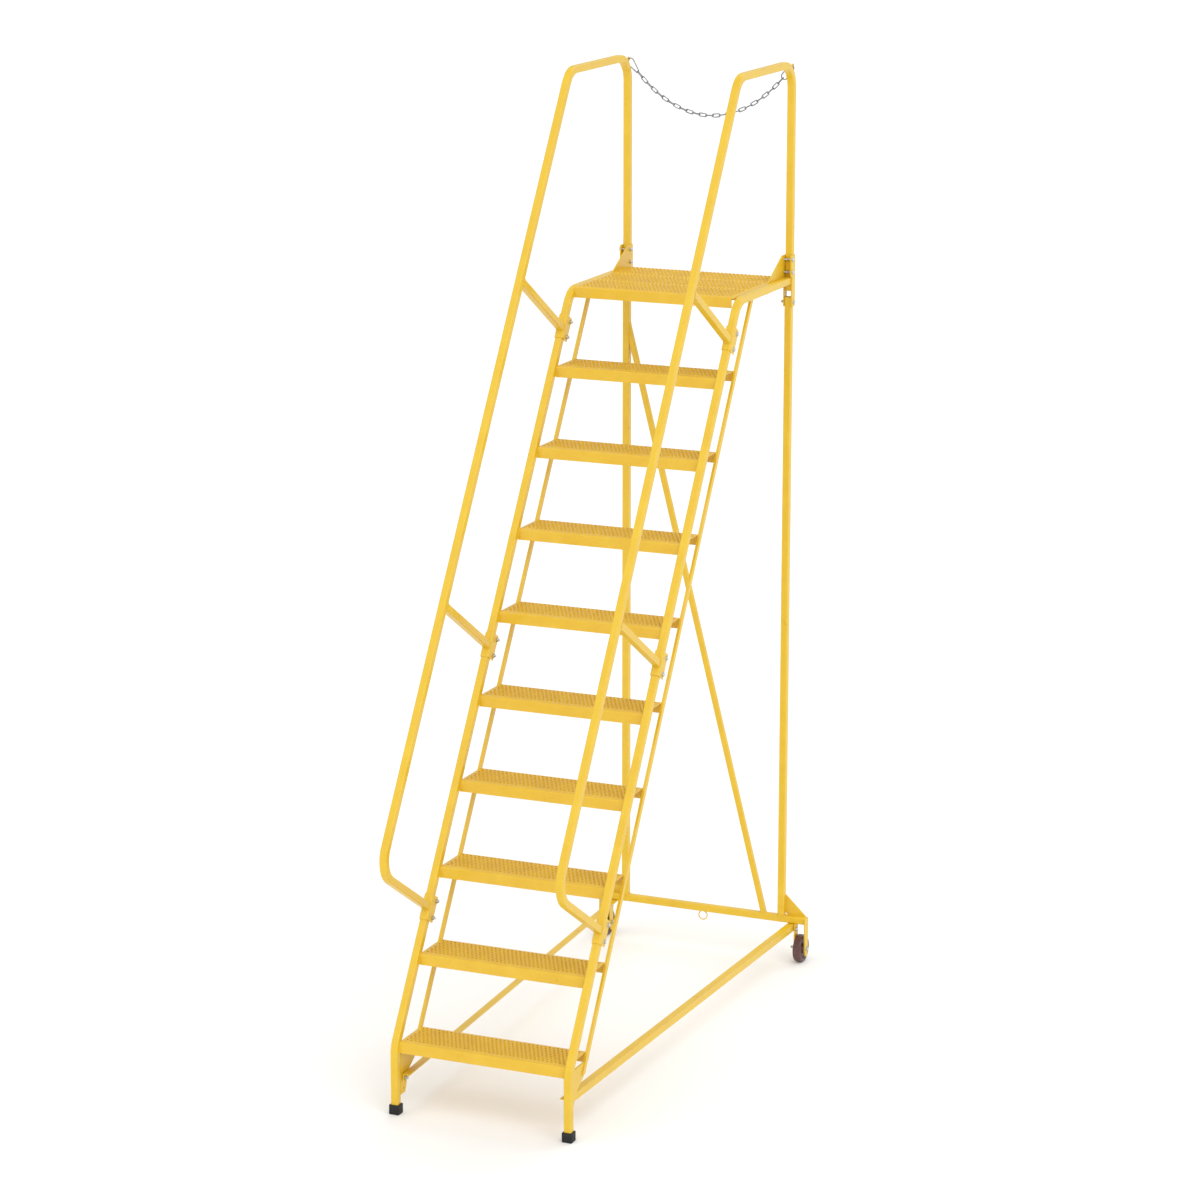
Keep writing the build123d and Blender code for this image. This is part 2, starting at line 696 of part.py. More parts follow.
for side in (-1, 1):
    ear = Cylinder(gate_ear, ear_sheet) + Pos(gate_ear, 0) * Box(2 * gate_ear, 2 * gate_ear, ear_sheet)
    ear -= Cylinder(gate_pin_diameter / 2, gate_ear)
    hook += gate_seat * Pos(0, 0, side * (ear_inner + ear_sheet / 2)) * ear
gate = Pos(-gate_ear - 1.0 - (gate_length - gate_ear - 1.0) / 2, 0) * Rot(0, 90, 0) * Cylinder(
    gate_wire / 2, gate_length - gate_ear - 1.0
)
gate += Pos(-(gate_ear + 2.0) / 2, 0) * Box(gate_ear + 2.0, gate_wire, gate_tongue)
gate += Cylinder(gate_wire / 2, gate_tongue)
gate -= Cylinder(gate_pin_diameter / 2 + gate_play, gate_wire)
hook_way = (Vector(*joints[1]) - Vector(*joints[0])).normalized()
hook_plane = Plane(origin=joints[0], x_dir=hook_way, z_dir=(0, -1, 0))
pieces["snap_hook"] = hook_plane * hook
pieces["hook_gate"] = hook_plane * gate_seat * gate
pieces["gate_pin"] = hook_plane * gate_seat * Cylinder(gate_pin_diameter / 2, 2 * gate_ear)
gate_pivot = hook_plane.from_local_coords(pivot)

# ---- write every piece, moved so that the origin is under the middle of the box ------------
to_origin = Pos(0, -middle_y, 0)
os.makedirs("parts", exist_ok=True)
for name, piece in pieces.items():
    export_step(to_origin * piece, f"parts/{name}.step")
print(f"{len(pieces)} pieces, {link_count} links, chain's lowest joint {min(j[2] for j in joints):.1f}")
print(f"origin is {middle_y:.2f} behind the front legs; gate pin at {gate_pivot - Vector(0, middle_y, 0)}")
print(f"chain eyes at y {eye_y - middle_y:.2f}, z {eye_z:.2f}; axles at y {axle_y - middle_y:.2f}")
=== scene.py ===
import json
import math

import bmesh
import bpy
from mathutils import Matrix, Vector


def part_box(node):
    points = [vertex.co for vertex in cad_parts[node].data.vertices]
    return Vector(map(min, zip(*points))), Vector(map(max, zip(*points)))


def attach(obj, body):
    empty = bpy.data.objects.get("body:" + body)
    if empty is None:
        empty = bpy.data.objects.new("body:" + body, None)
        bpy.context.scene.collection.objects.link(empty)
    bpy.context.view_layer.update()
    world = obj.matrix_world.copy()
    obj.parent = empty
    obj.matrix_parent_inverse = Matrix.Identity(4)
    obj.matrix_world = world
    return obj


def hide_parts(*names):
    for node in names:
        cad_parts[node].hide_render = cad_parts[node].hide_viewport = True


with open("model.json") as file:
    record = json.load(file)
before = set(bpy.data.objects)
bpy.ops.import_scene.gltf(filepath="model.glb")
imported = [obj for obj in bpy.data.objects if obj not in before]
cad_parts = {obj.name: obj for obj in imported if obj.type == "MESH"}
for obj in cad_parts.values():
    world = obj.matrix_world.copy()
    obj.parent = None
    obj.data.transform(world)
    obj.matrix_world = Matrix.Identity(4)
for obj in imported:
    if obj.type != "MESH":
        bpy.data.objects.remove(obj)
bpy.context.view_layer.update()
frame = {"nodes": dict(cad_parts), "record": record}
print("frame loaded:", len(frame["nodes"]), "nodes")

mm = 0.001


# small helpers
def linear(hexColour):
    # sRGB hex to the linear colour that the shader wants
    parts = [int(hexColour[i:i + 2], 16) / 255 for i in (1, 3, 5)]
    return tuple(c / 12.92 if c <= 0.04045 else ((c + 0.055) / 1.055) ** 2.4 for c in parts) + (1.0,)


def addNode(tree, kind, settings=None, links=None):
    # one node with its settings; a link is given as the output socket it comes from
    made = tree.nodes.new(kind)
    for key, value in (settings or {}).items():
        if isinstance(key, int) or key in made.inputs:
            made.inputs[key].default_value = value
        else:
            setattr(made, key, value)
    for key, socket in (links or {}).items():
        tree.links.new(socket, made.inputs[key])
    return made


def newMaterial(name):
    material = bpy.data.materials.new(name)
    material.use_nodes = True
    tree = material.node_tree
    tree.nodes.clear()
    coords = addNode(tree, "ShaderNodeTexCoord")
    return material, tree, coords.outputs["Object"]


def closeMaterial(tree, settings, links):
    shader = addNode(tree, "ShaderNodeBsdfPrincipled", settings, links)
    addNode(tree, "ShaderNodeOutputMaterial", None, {"Surface": shader.outputs["BSDF"]})


def ramp(tree, factor, stops):
    made = addNode(tree, "ShaderNodeValToRGB", None, {"Fac": factor})
    made.color_ramp.elements[0].position, made.color_ramp.elements[0].color = stops[0]
    made.color_ramp.elements[1].position, made.color_ramp.elements[1].color = stops[-1]
    for position, colour in stops[1:-1]:
        made.color_ramp.elements.new(position).color = colour
    return made.outputs["Color"]


def finishPiece(name, bm, material, body, replaced=(), smoothAngle=35):
    # a bmesh becomes a piece that rides on its body
    mesh = bpy.data.meshes.new(name)
    bm.to_mesh(mesh)
    bm.free()
    for face in mesh.polygons:
        face.use_smooth = True
    mesh.set_sharp_from_angle(angle=math.radians(smoothAngle))
    mesh.materials.append(material)
    piece = bpy.data.objects.new(name, mesh)
    bpy.context.scene.collection.objects.link(piece)
    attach(piece, body)
    if replaced:
        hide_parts(*replaced)
    return piece


def islands(nodeName):
    # each separate solid of a CAD node, as a list of its points
    bm = bmesh.new()
    bm.from_mesh(frame["nodes"][nodeName].data)
    bmesh.ops.remove_doubles(bm, verts=bm.verts, dist=0.02 * mm)
    found, seen = [], set()
    for start in bm.verts:
        if start in seen:
            continue
        seen.add(start)
        group, queue = [], [start]
        while queue:
            vert = queue.pop()
            group.append(vert.co.copy())
            for edge in vert.link_edges:
                other = edge.other_vert(vert)
                if other not in seen:
                    seen.add(other)
                    queue.append(other)
        found.append(group)
    bm.free()
    return found


def span(points):
    low = Vector(min(p[i] for p in points) for i in range(3))
    high = Vector(max(p[i] for p in points) for i in range(3))
    return low, high


def ring(bm, segments, radius, place):
    # a closed loop of edges, round in its own x-y plane
    made = bmesh.ops.create_circle(bm, cap_ends=False, segments=segments, radius=radius, matrix=place)
    return made["verts"]


def edgesOf(verts):
    chosen = set(verts)
    return [e for e in {e for v in verts for e in v.link_edges} if all(v in chosen for v in e.verts)]


def skin(bm, loops, closed=False):
    # faces between each loop and the next
    pairs = list(zip(loops, loops[1:])) + ([(loops[-1], loops[0])] if closed else [])
    made = []
    for first, second in pairs:
        edges = edgesOf(first) + edgesOf(second)
        edges = [e for e in edges if not (set(e.verts) & set(first) and set(e.verts) & set(second))]
        made += bmesh.ops.bridge_loops(bm, edges=edges)["faces"]
    return made


# materials
def powderCoat(name, colours, grain=3.0):
    # safety yellow polyester powder, sprayed and baked: even colour, wide gloss, faint orange peel
    material, tree, coords = newMaterial(name)
    cloud = addNode(tree, "ShaderNodeTexNoise", {"Scale": 1 / (70 * mm), "Detail": 3.0}, {"Vector": coords})
    spray = addNode(tree, "ShaderNodeTexNoise", {"Scale": 1 / (9 * mm), "Detail": 2.0}, {"Vector": coords})
    blend = addNode(tree, "ShaderNodeMath", {"operation": "MULTIPLY_ADD", 1: 0.3},
                    {0: spray.outputs["Fac"], 2: cloud.outputs["Fac"]})
    tint = ramp(tree, blend.outputs[0],
                [(place, linear(colour)) for place, colour in zip((0.45, 0.66, 0.9), colours)])
    # real orange peel is about 1 mm across; drawn at 3 mm so that it still shows
    peel = addNode(tree, "ShaderNodeTexNoise", {"Scale": 1 / (grain * mm), "Detail": 1.0}, {"Vector": coords})
    bump = addNode(tree, "ShaderNodeBump", {"Strength": 0.22, "Distance": 0.12 * mm},
                   {"Height": peel.outputs["Fac"]})
    rub = addNode(tree, "ShaderNodeMapRange",
                  {"From Min": 0.3, "From Max": 0.75, "To Min": 0.27, "To Max": 0.4},
                  {"Value": cloud.outputs["Fac"]})
    closeMaterial(tree, {"IOR": 1.5, "Coat Weight": 0.1, "Coat Roughness": 0.12},
                  {"Base Color": tint, "Roughness": rub.outputs["Result"], "Normal": bump.outputs["Normal"]})
    return material


def zincPlate(name, colours, roughness, grain):
    # zinc electroplate: bright grey metal, slightly cloudy from handling
    material, tree, coords = newMaterial(name)
    cloud = addNode(tree, "ShaderNodeTexNoise", {"Scale": 1 / (grain * mm), "Detail": 4.0},
                    {"Vector": coords})
    tint = ramp(tree, cloud.outputs["Fac"], [(0.35, linear(colours[0])), (0.65, linear(colours[1]))])
    fine = addNode(tree, "ShaderNodeTexNoise", {"Scale": 1 / (0.8 * mm), "Detail": 2.0}, {"Vector": coords})
    bump = addNode(tree, "ShaderNodeBump", {"Strength": 0.15, "Distance": 0.04 * mm},
                   {"Height": fine.outputs["Fac"]})
    rub = addNode(tree, "ShaderNodeMapRange",
                  {"From Min": 0.3, "From Max": 0.7, "To Min": roughness - 0.08, "To Max": roughness + 0.1},
                  {"Value": cloud.outputs["Fac"]})
    closeMaterial(tree, {"Metallic": 1.0},
                  {"Base Color": tint, "Roughness": rub.outputs["Result"], "Normal": bump.outputs["Normal"]})
    return material


def mouldedRubber():
    # black natural rubber from a steel mould: matt, fine grain, dusty grey on the high spots
    material, tree, coords = newMaterial("mouldedRubber")
    dust = addNode(tree, "ShaderNodeTexNoise", {"Scale": 1 / (6 * mm), "Detail": 5.0}, {"Vector": coords})
    tint = ramp(tree, dust.outputs["Fac"], [(0.4, linear("#0D0E0F")), (0.72, linear("#1A1C1D"))])
    grain = addNode(tree, "ShaderNodeTexNoise", {"Scale": 1 / (1.2 * mm), "Detail": 2.0}, {"Vector": coords})
    bump = addNode(tree, "ShaderNodeBump", {"Strength": 0.35, "Distance": 0.1 * mm},
                   {"Height": grain.outputs["Fac"]})
    closeMaterial(tree, {"Roughness": 0.62, "IOR": 1.5},
                  {"Base Color": tint, "Normal": bump.outputs["Normal"]})
    return material


def mouldedPhenolic():
    # rag-filled phenolic, hot pressed: maroon brown with darker flecks, satin
    material, tree, coords = newMaterial("mouldedPhenolic")
    flecks = addNode(tree, "ShaderNodeTexVoronoi", {"Scale": 1 / (2.2 * mm), "Randomness": 1.0},
                     {"Vector": coords})
    cloud = addNode(tree, "ShaderNodeTexNoise", {"Scale": 1 / (14 * mm), "Detail": 3.0}, {"Vector": coords})
    mixed = addNode(tree, "ShaderNodeMath", {"operation": "MULTIPLY"},
                    {0: flecks.outputs["Distance"], 1: cloud.outputs["Fac"]})
    tint = ramp(tree, mixed.outputs[0],
                [(0.05, linear("#3A2024")), (0.22, linear("#54302F")), (0.45, linear("#6A4344"))])
    bump = addNode(tree, "ShaderNodeBump", {"Strength": 0.15, "Distance": 0.08 * mm},
                   {"Height": flecks.outputs["Distance"]})
    closeMaterial(tree, {"Roughness": 0.36, "IOR": 1.55},
                  {"Base Color": tint, "Normal": bump.outputs["Normal"]})
    return material


yellow = ("#DEB522", "#E1B927", "#E4BE2D")
frameCoat = powderCoat("powderCoatTube", yellow)
treadCoat = powderCoat("powderCoatSheet", ("#DEB224", "#E1B629", "#E4BC30"), 2.4)
# a darker orange copy of the yellow coat for the hole walls: painted shade in the holes
holeShadeCoat = powderCoat("powderCoatHoleShade", ("#B67A14", "#C08519", "#CA9020"), 2.4)
boltZinc = zincPlate("zincPlateBright", ("#B9BBBD", "#D6D6D4"), 0.3, 5.0)
chainZinc = zincPlate("zincPlateDull", ("#77797D", "#A2A4A7"), 0.38, 9.0)
rubber = mouldedRubber()
phenolic = mouldedPhenolic()
slotMaterials = {
    "yellow_powder_coat": frameCoat, "foot_rubber": rubber, "wheel_phenolic": phenolic,
    "zinc_fasteners": boltZinc, "zinc_chain": chainZinc,
}
for part in frame["record"]["subparts"]:
    node = frame["nodes"][part["node"]]
    node.data.materials.clear()
    node.data.materials.append(slotMaterials[part["material_slot"]])
print("materials on", len(frame["nodes"]), "nodes")

# perforated treads and platform planks
perforation = {
    "pitch": 14.77 * mm,        # hole to hole along the tread
    "rowPitch": 14.75 * mm,     # row to row, each row set over by half a pitch
    "hole": 3.5 * mm,           # radii of the punched hole and of its raised collar
    "collarTop": 4.3 * mm,
    "collarFoot": 5.9 * mm,
    "collarHeight": 2.2 * mm,
    "collarDish": 0.35 * mm,    # the hole's rim lies this far below the collar's top
    "cellReach": 0.62,          # share of the row pitch that a cell's point reaches
    "sheet": 2.6 * mm,
    "bend": 4.5 * mm,
    "sideMargin": 9.0 * mm,
    "rows": {"treads": 9, "planks": 10},
    "firstRow": {"treads": 26.5 * mm, "planks": 15.1 * mm},
    "bendSteps": 4,
    "lipNotch": 10.0 * mm,      # the platform's front lip, short of the right rail
}


def perforatedCell(bm, p):
    # one raised hole in a six-sided patch of sheet, as upper and lower skin
    reach = p["cellReach"] * p["rowPitch"]
    waist = p["rowPitch"] - reach
    half = p["pitch"] / 2
    corners = [(half, 0), (half, waist), (half / 2, p["rowPitch"] / 2), (0, reach)]
    corners += [(-x, y) for x, y in corners[2:0:-1]] + [(-half, 0)]
    corners += [(x, -y) for x, y in corners[5:0:-1]]
    loops = []
    levels = [(0, 0), (p["collarFoot"], 0), (p["collarTop"], p["collarHeight"]),
              (p["hole"], p["collarHeight"] - p["collarDish"]), (p["hole"], -p["sheet"]), (0, -p["sheet"])]
    for radius, height in levels:      # radius 0 stands for the patch's outline
        verts = ring(bm, 12, radius or 1.0, Matrix.Translation((0, 0, height)))
        if not radius:
            for vert in verts:
                turn = round(math.degrees(math.atan2(vert.co.y, vert.co.x)) / 30) % 12
                vert.co = Vector((*corners[turn], height))
        loops.append(verts)
    skin(bm, loops)
    for face in bm.faces:
        # the punched wall takes the darker orange coat, which is painted shade inside the holes
        if all(v.co.xy.length < p["hole"] * 1.01 for v in face.verts):
            face.material_index = 1


def perforatedSheet(p, halfWidth, rows, firstY):
    # the flat of a tread, pierced row by row; returns a bmesh with its front bend line at y 0
    bm = bmesh.new()
    perforatedCell(bm, p)
    columns = int((2 * halfWidth - 2 * p["sideMargin"]) / p["pitch"])
    cell = bm.verts[:] + bm.edges[:] + bm.faces[:]
    for row in range(rows):
        count = columns - row % 2
        for column in range(count):
            shift = Vector(((column - (count - 1) / 2) * p["pitch"], firstY + row * p["rowPitch"], 0))
            copy = bmesh.ops.duplicate(bm, geom=cell)["geom"]
            bmesh.ops.translate(bm, vec=shift, verts=[g for g in copy if isinstance(g, bmesh.types.BMVert)])
    bmesh.ops.delete(bm, geom=[g for g in cell if isinstance(g, bmesh.types.BMVert)], context="VERTS")
    bmesh.ops.remove_doubles(bm, verts=bm.verts, dist=0.01 * mm)
    return bm


def foldedLip(bm, p, halfWidth, y, way, lip):
    # the rolled edge and its lip, from the bend line down; way is 1 for the front edge, -1 for the rear
    turn = p["bend"]
    inner = turn - p["sheet"]
    steps = p["bendSteps"]
    arc = [math.radians(90 + 90 * i / steps) for i in range(steps + 1)]
    outline = [(turn + turn * math.cos(a), -turn + turn * math.sin(a)) for a in arc]
    outline += [(0, -lip), (p["sheet"], -lip)]
    outline += [(turn + inner * math.cos(a), -turn + inner * math.sin(a)) for a in reversed(arc)]
    verts = [bm.verts.new((-halfWidth, y + way * a, b)) for a, b in outline]
    edges = [bm.edges.new(pair) for pair in zip(verts, verts[1:])]
    made = bmesh.ops.extrude_edge_only(bm, edges=edges)["geom"]
    far = [g for g in made if isinstance(g, bmesh.types.BMVert)]
    bmesh.ops.translate(bm, vec=(2 * halfWidth, 0, 0), verts=far)
    far.sort(key=lambda v: min(range(len(verts)), key=lambda i: (verts[i].co.yz - v.co.yz).length))
    for side in (verts, far):
        bm.faces.new(side)
    return (verts[0], verts[-1]), (far[0], far[-1])


def foldedTread(p, kind, halfWidth, depth, lip):
    bm = perforatedSheet(p, halfWidth, p["rows"][kind], p["firstRow"][kind])
    front = foldedLip(bm, p, halfWidth, 0, 1, lip)
    rear = foldedLip(bm, p, halfWidth, depth, -1, lip)
    for (frontTop, frontUnder), (rearTop, rearUnder) in zip(front, rear):
        bm.faces.new((frontTop, rearTop, rearUnder, frontUnder))
    for height in (0, -p["sheet"]):
        rim = [e for e in bm.edges if len(e.link_faces) == 1
               and all(abs(v.co.z - height) < 0.01 * mm for v in e.verts)]
        bmesh.ops.triangle_fill(bm, use_beauty=True, edges=rim, normal=(0, 0, 1))
    bmesh.ops.recalc_face_normals(bm, faces=bm.faces)
    return bm


def cutEnd(piece, halfWidth, front, top, notch, drop, lip):
    # the platform's front lip stops short of the right rail
    cutter = bmesh.new()
    bmesh.ops.create_cube(cutter, size=1.0)
    bmesh.ops.scale(cutter, vec=(2 * notch, 4 * drop, lip), verts=cutter.verts)
    bmesh.ops.translate(cutter, vec=(halfWidth, front, top - drop - lip / 2), verts=cutter.verts)
    mesh = bpy.data.meshes.new("cutter")
    cutter.to_mesh(mesh)
    cutter.free()
    tool = bpy.data.objects.new("cutter", mesh)
    bpy.context.scene.collection.objects.link(tool)
    saw = piece.modifiers.new("saw", "BOOLEAN")
    saw.operation, saw.solver, saw.object = "DIFFERENCE", "EXACT", tool
    bpy.context.view_layer.update()
    cut = bpy.data.meshes.new_from_object(piece.evaluated_get(bpy.context.evaluated_depsgraph_get()))
    piece.modifiers.clear()
    piece.data = cut
    bpy.data.objects.remove(tool)


sheetNodes = {"treads": [n for n in frame["nodes"] if n.startswith("step_") and n[5:].isdigit()],
              "planks": [n for n in frame["nodes"] if n.startswith("platform_plank_")]}
for kind, names in sheetNodes.items():
    names.sort()
    low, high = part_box(names[0])
    pattern = foldedTread(perforation, kind, high.x, high.y - low.y, high.z - low.z)
    for name in names:
        low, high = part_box(name)
        bm = pattern.copy()
        bmesh.ops.translate(bm, vec=(0, low.y, high.z), verts=bm.verts)
        piece = finishPiece("perforated_" + name, bm, treadCoat, "frame", [name], 30)
        # second slot: the painted shade on the hole walls
        piece.data.materials.append(holeShadeCoat)
        if name == "platform_plank_1":
            cutEnd(piece, high.x, low.y, high.z, perforation["lipNotch"], perforation["bend"],
                   high.z - low.z)
    pattern.free()
    print("perforated", len(names), "pieces of", len(piece.data.polygons), "faces")

# wheels
wheelShape = {
    "bore": 8.0 * mm, "hub": 17.0 * mm, "hubChamfer": 1.2 * mm, "web": 8.5 * mm, "dish": 2.0 * mm,
    "rimInside": 38.5 * mm, "rimHalf": 15.0 * mm, "edge": 6.0 * mm, "edgeSteps": 6, "steps": 64,
    "groove": 0.5 * mm,
}


def wheel(name, w):
    # half profile in x (across) and radius, spun about the axle and mirrored to the other face
    low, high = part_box(name)
    centre = (low + high) / 2
    radius = (high.z - low.z) / 2
    hubHalf = (high.x - low.x) / 2
    bm = bmesh.new()
    chamfer, dish = w["hubChamfer"], w["dish"]
    profile = [(0, w["bore"]), (hubHalf - chamfer, w["bore"]), (hubHalf, w["bore"] + chamfer),
               (hubHalf, w["hub"] - chamfer), (hubHalf - chamfer, w["hub"]),
               (w["web"] + dish, w["hub"] + dish / 2), (w["web"], w["hub"] + 2 * dish),
               (w["web"], w["rimInside"] - 2 * dish), (w["web"] + dish, w["rimInside"] - dish / 2),
               (w["rimHalf"] - chamfer, w["rimInside"] + dish / 2), (w["rimHalf"], w["rimInside"] + 2 * dish),
               (w["rimHalf"] - w["groove"], w["rimInside"] + 2.5 * dish)]
    edgeX, edgeZ = w["rimHalf"] - w["edge"], radius - w["edge"]
    for i in range(w["edgeSteps"] + 1):
        turn = math.radians(90 * i / w["edgeSteps"])
        profile.append((edgeX + w["edge"] * math.cos(turn), edgeZ + w["edge"] * math.sin(turn)))
    profile.append((0, radius))
    verts = [bm.verts.new((x, 0, r)) for x, r in profile]
    edges = [bm.edges.new(pair) for pair in zip(verts, verts[1:])]
    bmesh.ops.spin(bm, geom=verts + edges, cent=(0, 0, 0), axis=(1, 0, 0), angle=2 * math.pi,
                   steps=w["steps"], use_merge=True)
    bmesh.ops.mirror(bm, geom=bm.verts[:] + bm.edges[:] + bm.faces[:], axis="X", merge_dist=0.01 * mm)
    bmesh.ops.remove_doubles(bm, verts=bm.verts, dist=0.01 * mm)
    bmesh.ops.recalc_face_normals(bm, faces=bm.faces)
    bmesh.ops.translate(bm, vec=centre, verts=bm.verts)
    side = name.split("_")[1]
    return finishPiece("moulded_" + name, bm, phenolic, side + "_wheel", [name], 30)


for side in ("left", "right"):
    wheel("wheel_" + side, wheelShape)
print("wheels")

# rubber feet
footShape = {
    "corner": 3.2 * mm, "cornerSteps": 4, "soleChamfer": 1.2 * mm, "lip": 1.5 * mm,
    "ribs": 3, "firstRib": 6.0 * mm, "ribHeight": 4.4 * mm, "ribGap": 1.4 * mm, "ribSink": 0.7 * mm,
    "tube": 25.4 * mm, "tubeGap": 0.1 * mm, "socket": 4.0 * mm,
}


def foot(name, f):
    low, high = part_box(name)
    centre = (low + high) / 2
    half, height = (high.x - low.x) / 2, high.z - low.z
    bm = bmesh.new()
    bmesh.ops.create_grid(bm, x_segments=1, y_segments=1, size=half - f["soleChamfer"])
    bmesh.ops.bevel(bm, geom=bm.verts[:], affect="VERTICES", offset=f["corner"], offset_type="OFFSET",
                    segments=f["cornerSteps"], profile=0.5, material=-1)
    levels = [(f["soleChamfer"], half)]
    for rib in range(f["ribs"]):
        base = f["firstRib"] + rib * (f["ribHeight"] + f["ribGap"])
        levels += [(base, half), (base + 0.25 * f["ribGap"], half - f["ribSink"]),
                   (base + 0.75 * f["ribGap"], half - f["ribSink"]), (base + f["ribGap"], half)]
    levels += [(height - f["lip"], half), (height, half - f["lip"])]
    face, now = bm.faces[:][0], half - f["soleChamfer"]
    for level, size in levels:
        made = bmesh.ops.extrude_face_region(bm, geom=[face])["geom"]
        face = [g for g in made if isinstance(g, bmesh.types.BMFace)][0]
        bmesh.ops.translate(bm, vec=(0, 0, level - face.calc_center_median().z), verts=face.verts)
        bmesh.ops.scale(bm, vec=(size / now, size / now, 1), verts=face.verts)
        now = size
    # the socket that the leg stands in
    bmesh.ops.inset_region(bm, faces=[face], thickness=now - f["tube"] / 2 - f["tubeGap"],
                           use_even_offset=True)
    made = bmesh.ops.extrude_face_region(bm, geom=[face])["geom"]
    face = [g for g in made if isinstance(g, bmesh.types.BMFace)][0]
    bmesh.ops.translate(bm, vec=(0, 0, -f["socket"]), verts=face.verts)
    bmesh.ops.recalc_face_normals(bm, faces=bm.faces)
    bmesh.ops.translate(bm, vec=(centre.x, centre.y, low.z), verts=bm.verts)
    return finishPiece("moulded_" + name, bm, rubber, "frame", [name], 40)


for side in ("left", "right"):
    foot("foot_" + side, footShape)
print("feet")

# bolts and nuts
thread = {
    "pitch": 1.35 * mm, "depth": 0.55 * mm, "chamfer": 0.7 * mm, "segments": 18, "longest": 34 * mm,
    "shareOfShank": 0.72, "washer": 1.3 * mm, "washerOver": 1.2 * mm, "washerEdge": 0.25 * mm,
    "washerBore": 1.02, "washerSegments": 24, "headChamfer": 0.7 * mm, "facePart": 0.97,
}


def alongX(x, y, z, way):
    # places local +z along x, in the given direction
    turn = Matrix.Rotation(math.radians(90 * way), 4, "Y")
    return Matrix.Translation((x, y, z)) @ turn


def hexRing(bm, flats, place):
    # six corners and six flat middles, so that it bridges to a twelve-sided circle
    verts = ring(bm, 12, 1.0, Matrix.Identity(4))
    for vert in verts:
        turn = round(math.degrees(math.atan2(vert.co.y, vert.co.x)) / 30) % 12
        reach = flats / 2 / (math.cos(math.radians(30)) if turn % 2 else 1.0)
        angle = math.radians(30 * turn)
        vert.co = place @ Vector((reach * math.cos(angle), reach * math.sin(angle), 0))
    return verts


def hexBody(bm, flats, height, bore, place, chamferBoth):
    # hexagon with turned chamfers; bore 0 leaves it solid
    corner = flats / 2
    cut = thread["headChamfer"]
    at = lambda h: place @ Matrix.Translation((0, 0, h))
    loops = []
    if chamferBoth:
        loops += [ring(bm, 12, corner * thread["facePart"], at(0)), hexRing(bm, flats, at(cut))]
    else:
        loops += [hexRing(bm, flats, at(0))]
    loops += [hexRing(bm, flats, at(height - cut)), ring(bm, 12, corner * thread["facePart"], at(height))]
    if bore:
        loops = [ring(bm, 12, bore, at(0))] + loops + [ring(bm, 12, bore, at(height))]
        skin(bm, loops, True)
    else:
        skin(bm, loops)
        for end in (loops[0], loops[-1]):
            bmesh.ops.contextual_create(bm, geom=edgesOf(end))


def screw(bm, points):
    # hex head, washer and threaded shank in place of a plain CAD bolt
    low, high = span(points)
    y, z = (low.y + high.y) / 2, (low.z + high.z) / 2
    away = lambda p: (Vector((y, z)) - p.yz).length
    reach = lambda x: max(away(p) for p in points if abs(p.x - x) < 0.05 * mm)
    headAt, tipAt = (low.x, high.x) if reach(low.x) > reach(high.x) else (high.x, low.x)
    way = 1 if tipAt > headAt else -1
    shank = reach(tipAt)
    # the head's underside: the wide points that are furthest from its top
    bearing = min((p.x for p in points if away(p) > shank * 1.25 and abs(p.x - headAt) > 1 * mm),
                  key=lambda x: -abs(x - headAt))
    flats = min(high.y - low.y, high.z - low.z)
    washer, edge = thread["washer"], thread["washerEdge"]
    head = abs(bearing - headAt) - washer
    hexBody(bm, flats, head, 0, alongX(bearing - way * washer, y, z, -way), False)
    place = alongX(bearing - way * washer, y, z, way)
    at = lambda h: place @ Matrix.Translation((0, 0, h))
    bore = shank * thread["washerBore"]
    wide = flats / 2 * 1.1547 + thread["washerOver"]       # from the hexagon's corners
    section = [(bore, 0), (wide - edge, 0), (wide, edge), (wide, washer - edge),
               (wide - edge, washer), (bore, washer)]
    skin(bm, [ring(bm, thread["washerSegments"], radius, at(h)) for radius, h in section], True)
    length = abs(tipAt - bearing) + washer
    turns = int(min(length * thread["shareOfShank"], thread["longest"]) / thread["pitch"])
    section = [(shank, 0), (shank, length - turns * thread["pitch"] - thread["chamfer"])]
    for turn in range(turns):
        start = length - thread["chamfer"] - (turns - turn) * thread["pitch"]
        section.append((shank - thread["depth"], start + thread["pitch"] * 0.45))      # root of the thread
        section.append((shank, start + thread["pitch"] * 0.95))                        # its crest
    section.append((shank - thread["chamfer"], length))
    loops = [ring(bm, thread["segments"], radius, at(h)) for radius, h in section]
    skin(bm, loops)
    for end in (loops[0], loops[-1]):
        bmesh.ops.contextual_create(bm, geom=edgesOf(end))


def nutBody(bm, points):
    low, high = span(points)
    y, z = (low.y + high.y) / 2, (low.z + high.z) / 2
    bore = min((Vector((y, z)) - p.yz).length for p in points)
    flats = min(high.y - low.y, high.z - low.z)
    hexBody(bm, flats, high.x - low.x, bore, alongX(low.x, y, z, 1), True)


fastenerNodes = [(place + kind, build) for kind, build in (("_bolts", screw), ("_nuts", nutBody))
                 for place in ("clamp", "frame", "brace", "axle")]
for name, build in fastenerNodes:
    bm = bmesh.new()
    for points in islands(name):
        build(bm, points)
    bmesh.ops.recalc_face_normals(bm, faces=bm.faces)
    finishPiece("detailed_" + name, bm, boltZinc, "frame", [name], 30)
print("fasteners")

